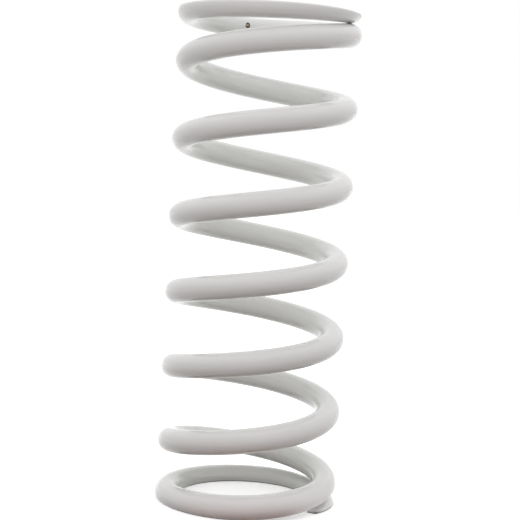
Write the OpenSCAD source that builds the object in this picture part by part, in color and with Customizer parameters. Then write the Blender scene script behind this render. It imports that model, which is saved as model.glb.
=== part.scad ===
// Compression spring for a shock absorber: one length of round wire, wound to the right,
// with both end coils closed against their neighbours and ground flat.
// The axis is Z, and the lower ground face lies on Z = 0.

/* [Wire] */
// Diameter of the wire over its coating
wire_d = 10.8; // [9:0.1:12.5]

/* [Coil] */
// Diameter of the clear hole through the coil
inside_d = 61; // [50:0.5:75]
// Height from ground face to ground face, with no load
free_length = 222; // [190:0.5:260]
// Turns of wire from tip to tip
total_turns = 8.12; // [7:0.01:8.8]
// Direction of the lower tip, seen from above
tip_angle = -33; // [-180:1:180]
// Drop of the middle coils below even spacing
middle_drop = 1.1; // [0:0.1:3]

/* [Closed ends] */
// Turns from each tip to the place where the pitch starts to open
level_turns = 0.23; // [0.1:0.01:0.4]
// Turns over which the pitch opens to its full value
lead_turns = 1.29; // [1:0.01:1.5]
// Depth of wire ground away where an end coil lies level
ground_off = 3.9; // [2.5:0.1:5]
// Clearance between the lower tip and the coil over it
lower_tip_gap = 2; // [0.3:0.1:3]
// Clearance between the upper tip and the coil under it
upper_tip_gap = 0.3; // [0.3:0.1:3]

/* [Smoothness] */
// Flats round the wire
section_sides = 20; // [12:1:20]
// Straight steps in each turn
turn_steps = 36; // [24:1:38]

/* [Hidden] */

full_turn = 360;
wire_r = wire_d / 2;
coil_r = inside_d / 2 + wire_r;
arc_per_turn = 2 * PI * coil_r;

// Height of the wire's centre over the ground face where the end coil lies level
level_h = wire_r - ground_off;
pitch = (free_length - 2 * level_h) / (total_turns - 2 * level_turns - lead_turns);

// Share of a tip's clearance that its coil may use up while it swings in beside its neighbour
closing_share = 0.6;

// Share of the full pitch that has opened, some turns into the lead
function opened(turns) =
    let (share = min(max(turns / lead_turns, 0), 1))
    share * share * (3 - 2 * share);

// Climb after the same turns, in full pitches
function climbed(turns) =
    turns <= 0 ? 0 :
    turns >= lead_turns ? turns - lead_turns / 2 :
    let (share = turns / lead_turns)
    lead_turns * (pow(share, 3) - pow(share, 4) / 2);

// Each tip dips towards its ground face, to leave room for the coil that lies one turn on.
// It starts as steep as its clearance allows, and runs out level.
first_climb = pitch * climbed(1 - level_turns);
slope_one_on = pitch * opened(1 - level_turns);
function dip(gap) = max(wire_d + gap - first_climb, gap);
function dip_slope(gap) = slope_one_on / (1 - sqrt(closing_share * gap / dip(gap)));
function dip_turns(gap) = 2 * dip(gap) / dip_slope(gap);
function dip_left(turns, gap) = max(1 - turns / dip_turns(gap), 0);

// Height of the wire's centre over the nearer ground face, some turns from the nearer tip
function end_h(turns, gap) =
    level_h + pitch * climbed(turns - level_turns) - dip(gap) * pow(dip_left(turns, gap), 2);

// Slope of the wire there, in millimetres per turn
function end_slope(turns, gap) =
    pitch * opened(turns - level_turns) + dip_slope(gap) * dip_left(turns, gap);

// Both ends have one form, so the upper half of the coil is the lower one turned over
function in_lower_half(turns) = turns < total_turns / 2;
function even_h(turns) =
    in_lower_half(turns) ?
        end_h(turns, lower_tip_gap) :
        free_length - end_h(total_turns - turns, upper_tip_gap);
function slope(turns) =
    in_lower_half(turns) ?
        end_slope(turns, lower_tip_gap) :
        end_slope(total_turns - turns, upper_tip_gap);

// Share of the middle coils' drop, which leaves the first and last turns where they are
function drop_share(turns) =
    let (along = min(max((turns - 1) / (total_turns - 2), 0), 1))
    pow(sin(180 * along), 2);
function centre_h(turns) = even_h(turns) - middle_drop * drop_share(turns);

// A point on the wire's surface, some turns along and at a given angle round its section
function wire_point(turns, section_angle) =
    let (
        direction = tip_angle + full_turn * turns,
        lean = atan(slope(turns) / arc_per_turn),
        outward = coil_r + wire_r * cos(section_angle),
        upward = wire_r * sin(section_angle) * cos(lean),
        backward = wire_r * sin(section_angle) * sin(lean)
    )
    [
        outward * cos(direction) + backward * sin(direction),
        outward * sin(direction) - backward * cos(direction),
        centre_h(turns) + upward
    ];

// The wire as it comes off the winding machine, with square-cut tips
module wound_wire() {
    steps = round(total_turns * turn_steps);
    around = [0 : section_sides - 1];
    points = [
        for (step = [0 : steps])
            for (side = around)
                wire_point(total_turns * step / steps, full_turn * side / section_sides)
    ];
    lower_tip = [for (side = around) side];
    upper_tip = [for (side = around) (steps + 1) * section_sides - 1 - side];
    skin = [
        for (step = [0 : steps - 1])
            for (side = around)
                let (
                    next_side = (side + 1) % section_sides,
                    here = step * section_sides,
                    there = here + section_sides
                )
                each [
                    [here + side, there + side, there + next_side],
                    [here + side, there + next_side, here + next_side]
                ]
    ];
    polyhedron(points = points, faces = concat([lower_tip, upper_tip], skin), convexity = 12);
}

// Stock that the grinding wheel takes away below the lower end face
module ground_stock() {
    width = 2 * (coil_r + wire_d);
    depth = 2 * wire_d;
    translate([-width / 2, -width / 2, -depth])
        cube([width, width, depth]);
}

// The finished spring, ground square to its axis at both ends
module coil_spring() {
    color("whitesmoke")
        difference() {
            wound_wire();
            ground_stock();
            translate([0, 0, free_length])
                mirror([0, 0, 1])
                    ground_stock();
        }
}

coil_spring();
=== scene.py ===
"""Looks of a white powder-coated shock-absorber spring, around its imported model."""
import math

import bmesh
import bpy
from mathutils import Matrix, Vector, noise


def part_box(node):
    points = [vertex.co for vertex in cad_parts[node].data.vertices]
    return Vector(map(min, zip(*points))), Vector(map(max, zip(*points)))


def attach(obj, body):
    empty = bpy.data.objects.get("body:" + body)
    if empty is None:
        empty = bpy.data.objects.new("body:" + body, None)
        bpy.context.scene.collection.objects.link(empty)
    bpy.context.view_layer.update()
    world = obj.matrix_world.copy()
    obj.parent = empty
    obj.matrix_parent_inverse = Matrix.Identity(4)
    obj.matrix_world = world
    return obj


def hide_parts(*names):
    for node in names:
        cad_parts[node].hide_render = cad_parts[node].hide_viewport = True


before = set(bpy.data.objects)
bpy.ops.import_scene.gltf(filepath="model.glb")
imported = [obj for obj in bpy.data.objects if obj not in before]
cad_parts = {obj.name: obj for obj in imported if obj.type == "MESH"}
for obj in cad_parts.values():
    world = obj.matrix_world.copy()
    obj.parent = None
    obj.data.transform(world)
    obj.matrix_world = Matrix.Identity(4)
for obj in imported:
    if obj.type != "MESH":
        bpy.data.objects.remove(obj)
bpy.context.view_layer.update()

# Wound wire
# One bar of round spring steel, wound to the right at a pitch that opens from both closed end
# coils. The bar keeps its full round section up to its tips, which are cut square, and the upper
# tip bears on the coil under it.
wire_d = 0.0108
inside_d = 0.061
free_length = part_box("coil_spring")[1].z
total_turns = 8.12
tip_direction = math.radians(-33)
middle_drop = 0.0011
level_turns = 0.23
lead_turns = 1.29
ground_off = 0.0039
lower_tip_gap = 0.002
upper_tip_gap = 0.00005
closing_share = 0.6

wire_r = wire_d / 2
coil_r = inside_d / 2 + wire_r
level_h = wire_r - ground_off
pitch = (free_length - 2 * level_h) / (total_turns - 2 * level_turns - lead_turns)


def opened(turns):
    """Share of the full pitch that has opened, some turns into the lead."""
    share = min(max(turns / lead_turns, 0), 1)
    return share**2 * (3 - 2 * share)


def climbed(turns):
    """Climb after the same turns, in full pitches."""
    if turns > lead_turns:
        return turns - lead_turns / 2
    share = max(turns / lead_turns, 0)
    return lead_turns * (share**3 - share**4 / 2)


def tip_dip(turns, gap):
    """How far the wire dips towards its ground face near a tip, and the slope that this adds."""
    depth = wire_d + gap - pitch * climbed(1 - level_turns)
    steepest = pitch * opened(1 - level_turns) / (1 - math.sqrt(closing_share * gap / depth))
    left = max(1 - turns * steepest / (2 * depth), 0)
    return depth * left**2, steepest * left


def wire_height(turns):
    """Height of the wire's centre, and its slope in metres per turn, some turns from the lower tip."""
    lower_half = turns < total_turns / 2
    from_tip = turns if lower_half else total_turns - turns
    dip, dip_slope = tip_dip(from_tip, lower_tip_gap if lower_half else upper_tip_gap)
    height = level_h + pitch * climbed(from_tip - level_turns) - dip
    slope = pitch * opened(from_tip - level_turns) + dip_slope
    along = min(max((turns - 1) / (total_turns - 2), 0), 1)
    drop = middle_drop * math.sin(math.pi * along) ** 2
    return (height if lower_half else free_length - height) - drop, slope


def section_place(turns):
    """Carries a section drawn in the XZ plane round the origin to its place on the wire."""
    height, slope = wire_height(turns)
    around = Matrix.Rotation(tip_direction + math.tau * turns, 4, "Z")
    outward = Matrix.Translation((coil_r, 0, height))
    lean = Matrix.Rotation(math.atan(slope / (math.tau * coil_r)), 4, "X")
    return around @ outward @ lean


section_sides = 48
steps_per_turn = 180
steps_per_length = 30
weld_distance = 0.00001
steps = round(total_turns * steps_per_turn)
turn_length = math.tau * coil_r
step_along = Vector((0, turn_length * total_turns / steps, 0))
upright = Matrix.Rotation(math.radians(90), 4, "X")


def wind_on(coil, first, last):
    """Winds one more length of wire on the coil, from one step to a later one.

    Each point keeps its place on the straight bar: across, along and up.
    """
    length = bmesh.new()
    on_bar = length.verts.layers.float_vector.new("place_on_bar")
    place = section_place(total_turns * first / steps)
    bmesh.ops.create_circle(length, segments=section_sides, radius=wire_r, matrix=upright)
    for corner in length.verts:
        corner[on_bar] = corner.co + first * step_along
    bmesh.ops.transform(length, matrix=place, verts=length.verts[:])
    ring = length.edges[:]
    for step in range(first + 1, last + 1):
        next_place = section_place(total_turns * step / steps)
        grown = bmesh.ops.extrude_edge_only(length, edges=ring)["geom"]
        corners = {part for part in grown if isinstance(part, bmesh.types.BMVert)}
        ring = [
            part for part in grown
            if isinstance(part, bmesh.types.BMEdge) and corners.issuperset(part.verts)
        ]
        bmesh.ops.transform(length, matrix=next_place @ place.inverted(), verts=list(corners))
        for corner in corners:
            corner[on_bar] = corner[on_bar] + step_along
        place = next_place
    wound = bpy.data.meshes.new("wound_length")
    length.to_mesh(wound)
    length.free()
    coil.from_mesh(wound)
    bpy.data.meshes.remove(wound)


coil = bmesh.new()
bare_steel = coil.verts.layers.float.new("bare_steel")
on_bar = coil.verts.layers.float_vector.new("place_on_bar")
for first in range(0, steps, steps_per_length):
    wind_on(coil, first, min(first + steps_per_length, steps))
bmesh.ops.remove_doubles(coil, verts=coil.verts[:], dist=weld_distance)
bmesh.ops.holes_fill(coil, edges=[edge for edge in coil.edges if edge.is_boundary])
bmesh.ops.recalc_face_normals(coil, faces=coil.faces[:])

# Ground ends
# Both end coils are ground flat and square to the axis on the side of a wheel, which leaves
# most of a turn of bearing face and a thin tip. The sharp edges are broken before coating.
edge_break = 0.0006
room_beside_break = 0.0001
shortest_edge = 0.00025
tip_edge_break = 0.0002
cut_play = 0.0000001
hair_inset = 0.000001


def section_at(corner):
    """The wire's section that a point near the wire lies in."""
    return section_place(corner[on_bar].y / turn_length)


def on_wall(corner, reach, into_wire):
    """The place on the wire's round wall, some way round the section from a sharp corner."""
    across, _, up = corner[on_bar]
    angle = math.atan2(up, across) + math.copysign(reach / wire_r, across) * into_wire
    return section_at(corner) @ Vector((wire_r * math.cos(angle), 0, wire_r * math.sin(angle)))


def break_reach(corner, into_wire):
    """How far the broken edge reaches from a sharp corner. It runs out where the face feathers."""
    across, _, up = corner[on_bar]
    feathers = up * into_wire < 0
    return edge_break * (min(abs(across) / wire_r, 1) if feathers else 1)


def lies_in_break(corner, face_height, into_wire):
    """Whether a point of the wall lies where the edge will be broken, or just beside it."""
    place = section_at(corner)
    centre_h = (place.translation.z - face_height) * into_wire
    rim_angle = math.asin(max(min(-centre_h / (wire_r * place.col[2].z), 1), -1))
    across, _, up = corner[on_bar]
    angle = math.atan2(up * into_wire, abs(across))
    return wire_r * (angle - rim_angle) < break_reach(corner, into_wire) + room_beside_break


def next_ring_out(ring, crossed):
    """For each corner of an inset ring, the one beside it that no ring inside it holds."""
    return {
        corner: next(
            edge.other_vert(corner) for edge in corner.link_edges
            if edge.other_vert(corner) not in crossed
        )
        for corner in ring
    }


for face_height, into_wire in ((0, 1), (free_length, -1)):
    cut = bmesh.ops.bisect_plane(
        coil,
        geom=coil.verts[:] + coil.edges[:] + coil.faces[:],
        dist=cut_play,
        plane_co=(0, 0, face_height),
        plane_no=(0, 0, into_wire),
        clear_inner=True,
    )["geom_cut"]

    # The rim is gone over in turn from the tip, so that every run welds it alike.
    rim = [part for part in cut if isinstance(part, bmesh.types.BMVert)]
    rim.sort(key=lambda corner: corner[on_bar].y * into_wire)
    nearest = {}
    for corner in rim:
        for edge in corner.link_edges:
            neighbour = edge.other_vert(corner)
            if neighbour in rim or not lies_in_break(neighbour, face_height, into_wire):
                continue
            if neighbour not in nearest or edge.calc_length() < nearest[neighbour][0]:
                nearest[neighbour] = (edge.calc_length(), corner)
    bmesh.ops.weld_verts(
        coil, targetmap={neighbour: corner for neighbour, (_, corner) in nearest.items()}
    )
    kept = {}
    merged = {}
    for corner in rim:
        gaps = {before: (before.co - corner.co).length for before in kept.values()}
        closest = min(gaps, key=gaps.get, default=corner)
        if gaps.get(closest, math.inf) < shortest_edge:
            merged[corner] = closest
        else:
            kept["outer" if corner[on_bar].x > 0 else "inner"] = corner
    bmesh.ops.weld_verts(coil, targetmap=merged)
    open_edges = [edge for edge in coil.edges if edge.is_boundary]
    flat = bmesh.ops.contextual_create(coil, geom=open_edges)["faces"][0]

    # The broken edge's inner and middle rings are inset by a hair, and moved to their places after.
    for _ in ("middle", "inner"):
        bmesh.ops.inset_region(coil, faces=[flat], thickness=hair_inset)
    middle_beside = next_ring_out(flat.verts, set(flat.verts))
    crossed = set(flat.verts).union(middle_beside.values())
    corner_beside = next_ring_out(middle_beside.values(), crossed)
    for inner, middle in middle_beside.items():
        corner = corner_beside[middle]
        reach = break_reach(corner, into_wire)
        outward = Vector((corner.co.x, corner.co.y, 0)).normalized()
        flat_place = corner.co - math.copysign(reach, corner[on_bar].x) * outward
        along = corner[on_bar].y
        from_tip = along if into_wire > 0 else turn_length * total_turns - along
        if from_tip < step_along.y / 2:
            flat_place += section_at(corner).col[1].xyz * reach * into_wire
            flat_place.z = face_height
        wall_place = on_wall(corner, reach, into_wire)
        middle_place = corner.co / 2 + (flat_place + wall_place) / 4
        section = section_at(corner)
        for point, place in ((inner, flat_place), (middle, middle_place), (corner, wall_place)):
            point.co = place
            across, ahead, up = section.inverted() @ place
            point[on_bar] = (across, point[on_bar].y + ahead, up)

bmesh.ops.remove_doubles(coil, verts=coil.verts[:], dist=weld_distance)
bmesh.ops.recalc_face_normals(coil, faces=coil.faces[:])

# The square-cut ends are the only faces with many sides that don't lie level.
most_sides_on_wall = 8
nearly_upright = 0.9
cut_ends = [
    face for face in coil.faces
    if len(face.verts) > most_sides_on_wall and abs(face.normal.z) < nearly_upright
]
bmesh.ops.bevel(
    coil, geom=[edge for face in cut_ends for edge in face.edges], offset=tip_edge_break,
    affect="EDGES", segments=2, profile=0.5, clamp_overlap=False, material=-1,
)

# Chip
# A flake of the coating is gone from the inner side of the top coil. It broke away down to the
# steel, which has rusted, and its ragged wall is as high as the coating is thick.
chip_turns = 7.397
chip_angle = math.radians(181)
chip_width = 0.0024
chip_height = 0.0029
chip_narrowing = 0.25
raggedness = 0.14
ragged_points = 1.9
wall_foot = 0.86
coat_thickness = 0.00014
lip_height = 0.00003
lip_way = 1.12
lip_spread = 0.1
pit_depth = 0.00002
pits_per_metre = 4000
wall_play = 0.00002
cuts_per_edge = 7
chip_on_bar = Vector((
    wire_r * math.cos(chip_angle), chip_turns * turn_length, wire_r * math.sin(chip_angle)
))
chip_place = section_place(chip_turns) @ Vector((chip_on_bar.x, 0, chip_on_bar.z))


def eased(value, low, high):
    """0 up to low, 1 from high on, and smooth between them."""
    share = min(max((value - low) / (high - low), 0), 1)
    return share**2 * (3 - 2 * share)


def way_to_chip_edge(across, along, up):
    """Distance of a place on the bar from the chip's middle, where 1 is the chip's edge."""
    beside = (along - chip_on_bar.y) * (coil_r + across) / coil_r / (chip_width / 2)
    over = (up - chip_on_bar.z) / (chip_height / 2)
    ragged = 1 + raggedness * noise.noise(Vector((beside, over, 0)) * ragged_points)
    return math.hypot(beside / (1 - chip_narrowing * over), over) * ragged


near_chip = [
    face for face in coil.faces
    if (face.calc_center_median() - chip_place).length < chip_height
]
edges_near_chip = list(dict.fromkeys(edge for face in near_chip for edge in face.edges))
bmesh.ops.subdivide_edges(
    coil, edges=edges_near_chip, cuts=cuts_per_edge, use_grid_fill=True,
)
for corner in coil.verts:
    if (corner.co - chip_place).length > chip_height + step_along.y:
        continue
    across, along, up = corner[on_bar]
    if math.hypot(across, up) < wire_r - wall_play:
        continue
    way = way_to_chip_edge(across, along, up)
    gone = 1 - eased(way, wall_foot, 1)
    lip = lip_height * math.exp(-(((way - lip_way) / lip_spread) ** 2))
    pitted = pit_depth * gone * noise.noise(corner.co * pits_per_metre)
    angle = math.atan2(up, across)
    off_middle = wire_r - coat_thickness * gone + lip + pitted
    on_section = Vector((math.cos(angle), 0, math.sin(angle))) * off_middle
    corner.co = section_at(corner) @ on_section
    corner[bare_steel] = gone

spring_mesh = bpy.data.meshes.new("spring")
coil.to_mesh(spring_mesh)
coil.free()
spring_mesh.shade_smooth()
spring = bpy.data.objects.new("powder_coated_spring", spring_mesh)
bpy.context.scene.collection.objects.link(spring)
facing = spring.modifiers.new("even_normals", "WEIGHTED_NORMAL")
facing.mode = "FACE_AREA"
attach(spring, "root")
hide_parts("coil_spring")

# White powder coat
# A thermoset powder, sprayed dry and baked on. It flows out to a soft gloss with a fine orange
# peel, over the drawn wire and the ground ends alike. Shade is painted where the spring stands.
coat_white = (0.81, 0.80, 0.79, 1)
# Painted light: the inner side's tone, as it is lit inside the coil.
inside_painted_light = (0.845, 0.857, 0.83, 1)
coat_greyer = (0.74, 0.735, 0.725, 1)
# Painted shade along the lower ground edge and at the lower tip's corner.
edge_shade_dark = (0.16, 0.155, 0.14, 1)
# Painted shade where the upper tip bears on the coil under it.
contact_shade_grey = (0.62, 0.615, 0.605, 1)
gloss_roughness = 0.09
dull_roughness = 0.16
gloss_patch_size = 0.006
skin_share = 0.2
skin_roughness = 0.06
spot_core = 0.35


def worked_out(tree, operation, *values):
    """The result of a sum, of which each value is a number or another node's output."""
    result = tree.nodes.new("ShaderNodeMath")
    result.operation = operation
    for value, socket in zip(values, result.inputs):
        if isinstance(value, (int, float)):
            socket.default_value = value
        else:
            tree.links.new(value, socket)
    return result.outputs["Value"]


def axes_of(tree, vector):
    """The X, Y and Z of a place."""
    parts = tree.nodes.new("ShaderNodeSeparateXYZ")
    tree.links.new(vector, parts.inputs["Vector"])
    return parts.outputs


def grain(tree, vector, size, detail=2.0, closeness=(1, 1, 1)):
    """Noise with features of about the given size. Half the closeness makes them twice as long."""
    scaled = tree.nodes.new("ShaderNodeMapping")
    scaled.inputs["Scale"].default_value = [share / size for share in closeness]
    tree.links.new(vector, scaled.inputs["Vector"])
    cloud = tree.nodes.new("ShaderNodeTexNoise")
    cloud.inputs["Scale"].default_value = 1
    cloud.inputs["Detail"].default_value = detail
    tree.links.new(scaled.outputs["Vector"], cloud.inputs["Vector"])
    return cloud.outputs["Fac"]


def eased_share(tree, value, low, high, full=1.0):
    """0 where the value is at low, and the full amount where it is at high."""
    step = tree.nodes.new("ShaderNodeMapRange")
    step.interpolation_type = "SMOOTHSTEP"
    falling = high < low
    step.inputs["From Min"].default_value = high if falling else low
    step.inputs["From Max"].default_value = low if falling else high
    step.inputs["To Min"].default_value = full if falling else 0
    step.inputs["To Max"].default_value = 0 if falling else full
    tree.links.new(value, step.inputs["Value"])
    return step.outputs["Result"]


def laid_over(tree, under, over, amount):
    """A colour over another, which may each be a plain colour or another node's output."""
    layers = tree.nodes.new("ShaderNodeMix")
    layers.data_type = "RGBA"
    tree.links.new(amount, layers.inputs["Factor"])
    for layer, socket in ((under, layers.inputs[6]), (over, layers.inputs[7])):
        if isinstance(layer, tuple):
            socket.default_value = layer
        else:
            tree.links.new(layer, socket)
    return layers.outputs[2]


def spot(tree, vector, place, direction, reach):
    """1 in the middle of a soft oval spot, and 0 outside it."""
    centred = tree.nodes.new("ShaderNodeMapping")
    centred.vector_type = "TEXTURE"
    centred.inputs["Location"].default_value = place
    centred.inputs["Rotation"].default_value = (0, 0, direction)
    centred.inputs["Scale"].default_value = reach
    tree.links.new(vector, centred.inputs["Vector"])
    way = tree.nodes.new("ShaderNodeVectorMath")
    way.operation = "LENGTH"
    tree.links.new(centred.outputs["Vector"], way.inputs[0])
    return eased_share(tree, way.outputs["Value"], 1, spot_core)


def raised(tree, height, distance, under=None):
    """A bump of the given height in metres, over another bump where there is one."""
    bump = tree.nodes.new("ShaderNodeBump")
    bump.inputs["Distance"].default_value = distance
    tree.links.new(height, bump.inputs["Height"])
    if under:
        tree.links.new(under, bump.inputs["Normal"])
    return bump.outputs["Normal"]


coat = bpy.data.materials.new("white_powder_coat")
coat.use_nodes = True
spring_mesh.materials.append(coat)
tree = coat.node_tree
shader = tree.nodes["Principled BSDF"]
where = tree.nodes.new("ShaderNodeTexCoord").outputs["Object"]
across_spring = axes_of(tree, where)["X"]
up_spring = axes_of(tree, where)["Z"]
bar = tree.nodes.new("ShaderNodeAttribute")
bar.attribute_name = "place_on_bar"
along_bar = bar.outputs["Vector"]
off_bar_middle = axes_of(tree, along_bar)["X"]
bare = tree.nodes.new("ShaderNodeAttribute")
bare.attribute_name = "bare_steel"
bare_share = bare.outputs["Fac"]

# Painted light: the wire's inner side is lighter and slightly greener, as it is lit inside the coil.
# The powder is uneven all over, in long clouds along the wire and in fine lines where the drawn
# steel lies close under it.
cloud_size = 0.012
cloud_closeness = (1, 0.25, 1)
cloud_limits = (0.35, 0.7)
cloud_share = 0.5
tone_line_size = 0.0014
tone_line_closeness = (1, 0.05, 1)
tone_line_limits = (0.45, 0.75)
tone_line_share = 0.45
inner_side_light_share = eased_share(tree, off_bar_middle, wire_r / 2, -wire_r / 2)
clouds = grain(tree, along_bar, cloud_size, closeness=cloud_closeness)
cloud_cover = eased_share(tree, clouds, *cloud_limits, full=cloud_share)
tone_lines = grain(tree, along_bar, tone_line_size, closeness=tone_line_closeness)
tone_line_cover = eased_share(tree, tone_lines, *tone_line_limits, full=tone_line_share)
colour = laid_over(tree, coat_white, inside_painted_light, inner_side_light_share)
colour = laid_over(tree, colour, coat_greyer, cloud_cover)
colour = laid_over(tree, colour, coat_greyer, tone_line_cover)

# Painted shade: a patchy thin dark line round the lower ground edge, where the spring stands,
# and a dark spot at the lower tip's corner.
edge_shade_top = 0.0008
edge_shade_full_height = 0.0002
edge_shade_cover = 0.85
edge_shade_patch_size = 0.004
edge_shade_patch_limits = (0, 0.5)
tip_shade_reach = (0.0032, 0.0032, 0.0012)
patches = eased_share(tree, grain(tree, where, edge_shade_patch_size), *edge_shade_patch_limits)
painted_edge_shade = eased_share(tree, up_spring, edge_shade_top, edge_shade_full_height, full=edge_shade_cover)
colour = laid_over(tree, colour, edge_shade_dark, worked_out(tree, "MULTIPLY", painted_edge_shade, patches))
lower_tip = section_place(0)
tip_corner = lower_tip.translation + lower_tip.col[0].xyz * wire_r / 2
tip_corner.z = 0
colour = laid_over(tree, colour, edge_shade_dark, spot(tree, where, tip_corner, tip_direction, tip_shade_reach))

# Shade is painted grey on the upper tip and on the coil under it, where the two bear.
turns_behind_tip = 1.075
contact_shade_angle = math.radians(72)
contact_shade_reach = (0.0062, 0.013, 0.0026)
contact_shade_turns = total_turns - turns_behind_tip
contact_shade_place = section_place(contact_shade_turns) @ Vector((
    wire_r * math.cos(contact_shade_angle), 0, wire_r * math.sin(contact_shade_angle)
))
contact_shade_direction = tip_direction + math.tau * contact_shade_turns
colour = laid_over(tree, colour, contact_shade_grey, spot(tree, where, contact_shade_place, contact_shade_direction, contact_shade_reach))

# Rust in the chip: dark brown low down, tan in its middle, brown above, dark brown towards +X.
# At its top it is painted near black, as the shade under the coating's upper edge.
rust_and_lip_shade_tones = (
    (0.0, (0.065, 0.042, 0.018, 1)),
    (0.3, (0.10, 0.068, 0.030, 1)),
    (0.5, (0.55, 0.47, 0.33, 1)),
    (0.66, (0.30, 0.25, 0.17, 1)),
    # Painted shade under the coating's upper edge, at the top of the chip.
    (0.82, (0.022, 0.020, 0.022, 1)),
)
lowest_rust = -0.2
highest_rust = 0.8
rust_speckle_size = 0.0005
rust_speckle = 0.4
rust_limits = (0.15, 0.6)
rust_height = tree.nodes.new("ShaderNodeMapRange")
rust_height.inputs["From Min"].default_value = chip_place.z - chip_height / 2
rust_height.inputs["From Max"].default_value = chip_place.z + chip_height / 2
rust_height.inputs["To Min"].default_value = lowest_rust
rust_height.inputs["To Max"].default_value = highest_rust
tree.links.new(up_spring, rust_height.inputs["Value"])
speckles = grain(tree, where, rust_speckle_size)
speckled = worked_out(
    tree, "MULTIPLY_ADD", speckles, rust_speckle, rust_height.outputs["Result"]
)
rust_and_lip_shade_ramp = tree.nodes.new("ShaderNodeValToRGB")
tree.links.new(speckled, rust_and_lip_shade_ramp.inputs["Fac"])
ramp = rust_and_lip_shade_ramp.color_ramp
while len(ramp.elements) < len(rust_and_lip_shade_tones):
    ramp.elements.new(1)
for stop, (position, tone) in zip(ramp.elements, rust_and_lip_shade_tones):
    stop.position = position
    stop.color = tone
side_brown = rust_and_lip_shade_tones[0][1]
brown_side_share = eased_share(tree, across_spring, chip_place.x, chip_place.x + chip_width / 3)
rust_and_lip_shade_colour = laid_over(tree, rust_and_lip_shade_ramp.outputs["Color"], side_brown, brown_side_share)
colour = laid_over(tree, colour, rust_and_lip_shade_colour, eased_share(tree, bare_share, *rust_limits))
tree.links.new(colour, shader.inputs["Base Color"])

# The baked powder's gloss is a little uneven, under a thin clear skin. Rust is dull.
gloss = tree.nodes.new("ShaderNodeMapRange")
gloss.inputs["To Min"].default_value = gloss_roughness
gloss.inputs["To Max"].default_value = dull_roughness
tree.links.new(grain(tree, where, gloss_patch_size), gloss.inputs["Value"])
rust_dullness = worked_out(tree, "MULTIPLY", bare_share, bare_share)
roughness = worked_out(tree, "MAXIMUM", gloss.outputs["Result"], rust_dullness)
tree.links.new(roughness, shader.inputs["Roughness"])
shader.inputs["Coat Weight"].default_value = skin_share
shader.inputs["Coat Roughness"].default_value = skin_roughness

# Drawing lines show faintly through the coating, under the orange peel.
drawn_line_size = 0.0012
drawn_line_closeness = (1, 0.03, 1)
drawn_line_depth = 0.000012
peel_size = 0.0022
peel_depth = 0.00002
drawn_lines = grain(tree, along_bar, drawn_line_size, detail=1, closeness=drawn_line_closeness)
drawn = raised(tree, drawn_lines, drawn_line_depth)
peel = raised(tree, grain(tree, where, peel_size, detail=1), peel_depth, drawn)

# The wheel's arcs show in the ground faces.
wheel_offset = (0.12, 0.07, 0)
arc_closeness = 380
arc_wander = 6
wander_closeness = 3
arc_depth = 0.000006
face_play = 0.00003
off_wheel = tree.nodes.new("ShaderNodeMapping")
off_wheel.inputs["Location"].default_value = wheel_offset
tree.links.new(where, off_wheel.inputs["Vector"])
arcs = tree.nodes.new("ShaderNodeTexWave")
arcs.wave_type = "RINGS"
arcs.rings_direction = "Z"
arcs.inputs["Scale"].default_value = arc_closeness
arcs.inputs["Distortion"].default_value = arc_wander
arcs.inputs["Detail Scale"].default_value = wander_closeness
tree.links.new(off_wheel.outputs["Vector"], arcs.inputs["Vector"])
half_length = free_length / 2
between_faces = worked_out(tree, "COMPARE", up_spring, half_length, half_length - face_play)
on_faces = worked_out(tree, "SUBTRACT", 1, between_faces)
wheel_marks = worked_out(tree, "MULTIPLY", arcs.outputs["Fac"], on_faces)
tree.links.new(raised(tree, wheel_marks, arc_depth, peel), shader.inputs["Normal"])

# Studio
# A white paper floor, a soft white surround that is dimmer on the camera's side, and a small
# softbox over the camera, which lights the upper coils most. The paper sends a dimmer light back
# up than it shows: dark and warm close round the spring, and paler beside its lower tip.
white = (1, 1, 1, 1)
overhead = (0.88, 0.875, 0.885, 1)
camera_side = (0.68, 0.64, 0.67, 1)
far_side = (1.42, 1.50, 1.44, 1)
at_the_sides = (1.14, 1.15, 1.14, 1)
far_side_limits = (-0.9, 0.3)
side_limits = (0.5, 1)
overhead_limits = (0.2, 0.8)
softbox_size = 0.3
softbox_watts = 0.19
softbox_place = Vector((0, -0.36, 0.36))
softbox_aim = Vector((0, 0, 0.15))


def seen_as_background(tree):
    """1 for rays from the camera and from gloss or glass, and 0 for light that spreads."""
    rays = tree.nodes.new("ShaderNodeLightPath").outputs
    sharp = worked_out(tree, "MAXIMUM", rays["Is Camera Ray"], rays["Is Glossy Ray"])
    return worked_out(tree, "MAXIMUM", sharp, rays["Is Transmission Ray"])


surround = bpy.data.worlds.new("surround")
bpy.context.scene.world = surround
surround.use_nodes = True
tree = surround.node_tree
heading = axes_of(tree, tree.nodes.new("ShaderNodeTexCoord").outputs["Generated"])
to_side = worked_out(tree, "ABSOLUTE", heading["X"])
behind = eased_share(tree, heading["Y"], *far_side_limits)
dome = laid_over(tree, camera_side, far_side, behind)
dome = laid_over(tree, dome, at_the_sides, eased_share(tree, to_side, *side_limits))
dome = laid_over(tree, dome, overhead, eased_share(tree, heading["Z"], *overhead_limits))
shown = laid_over(tree, dome, white, seen_as_background(tree))
tree.links.new(shown, tree.nodes["Background"].inputs["Color"])

softbox_data = bpy.data.lights.new("softbox", "AREA")
softbox_data.size = softbox_size
softbox_data.energy = softbox_watts
softbox = bpy.data.objects.new("softbox", softbox_data)
softbox.location = softbox_place
softbox.rotation_euler = (softbox_aim - softbox_place).to_track_quat("-Z", "Y").to_euler()
softbox.visible_camera = False
softbox.visible_glossy = False
bpy.context.scene.collection.objects.link(softbox)

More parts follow.
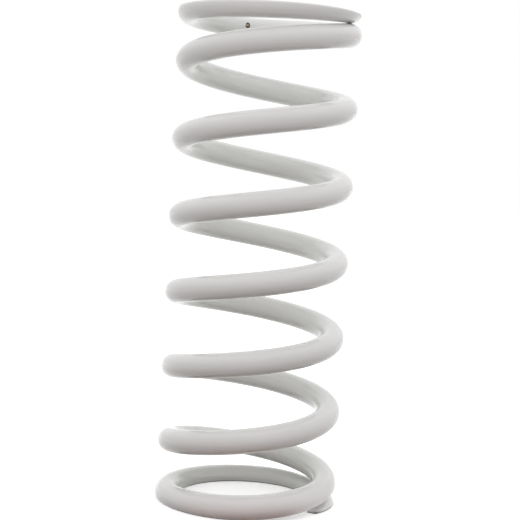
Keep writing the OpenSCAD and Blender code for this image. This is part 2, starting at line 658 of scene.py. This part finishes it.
floor_width = 8
paper_white = (0.88, 0.88, 0.88, 1)
paper_lift = 0.42
paper_glow = (0.30, 0.29, 0.28, 1)

# Each patch of other glow has its colour, its middle and its reach.
patches_of_glow = (
    ((0.075, 0.045, 0.025, 1), (0, -0.03, 0), (0.25, 0.25, 1)),
    ((0.20, 0.075, 0.03, 1), (0, -0.05, 0), (0.06, 0.03, 1)),
    ((0.60, 0.56, 0.56, 1), (0.040, -0.032, 0), (0.024, 0.024, 1)),
)

bpy.ops.mesh.primitive_plane_add(size=floor_width)
floor = bpy.context.object
floor.name = "floor"
paper = bpy.data.materials.new("white_paper")
paper.use_nodes = True
floor.data.materials.append(paper)
tree = paper.node_tree
sheet = tree.nodes["Principled BSDF"]
sheet.inputs["Roughness"].default_value = 1
sheet.inputs["Specular IOR Level"].default_value = 0
background_share = seen_as_background(tree)
paper_place = tree.nodes.new("ShaderNodeTexCoord").outputs["Object"]
glow = paper_glow
for patch_glow, middle, reach in patches_of_glow:
    glow = laid_over(tree, glow, patch_glow, spot(tree, paper_place, middle, 0, reach))
sheet_colour = laid_over(tree, glow, paper_white, background_share)
tree.links.new(sheet_colour, sheet.inputs["Base Color"])
sheet.inputs["Emission Color"].default_value = white
lift = worked_out(tree, "MULTIPLY", background_share, paper_lift)
tree.links.new(lift, sheet.inputs["Emission Strength"])

# Camera
# The photograph's own view, through a long lens: from the height of the spring's upper half,
# looking slightly down, and with a slight tilt.
eye = Vector((0, -0.5892, 0.1545))
look_down = math.radians(4.291)
turn_right = math.radians(0.113)
tilt = math.radians(3.078)
film_width = 36
lens = 89.99
camera_data = bpy.data.cameras.new("camera")
camera_data.sensor_width = film_width
camera_data.lens = lens
camera = bpy.data.objects.new("camera", camera_data)
camera.matrix_world = (
    Matrix.Translation(eye)
    @ Matrix.Rotation(-turn_right, 4, "Z")
    @ Matrix.Rotation(math.radians(90) - look_down, 4, "X")
    @ Matrix.Rotation(tilt, 4, "Z")
)
bpy.context.scene.collection.objects.link(camera)
bpy.context.scene.camera = camera
bpy.context.scene.view_settings.view_transform = "Standard"
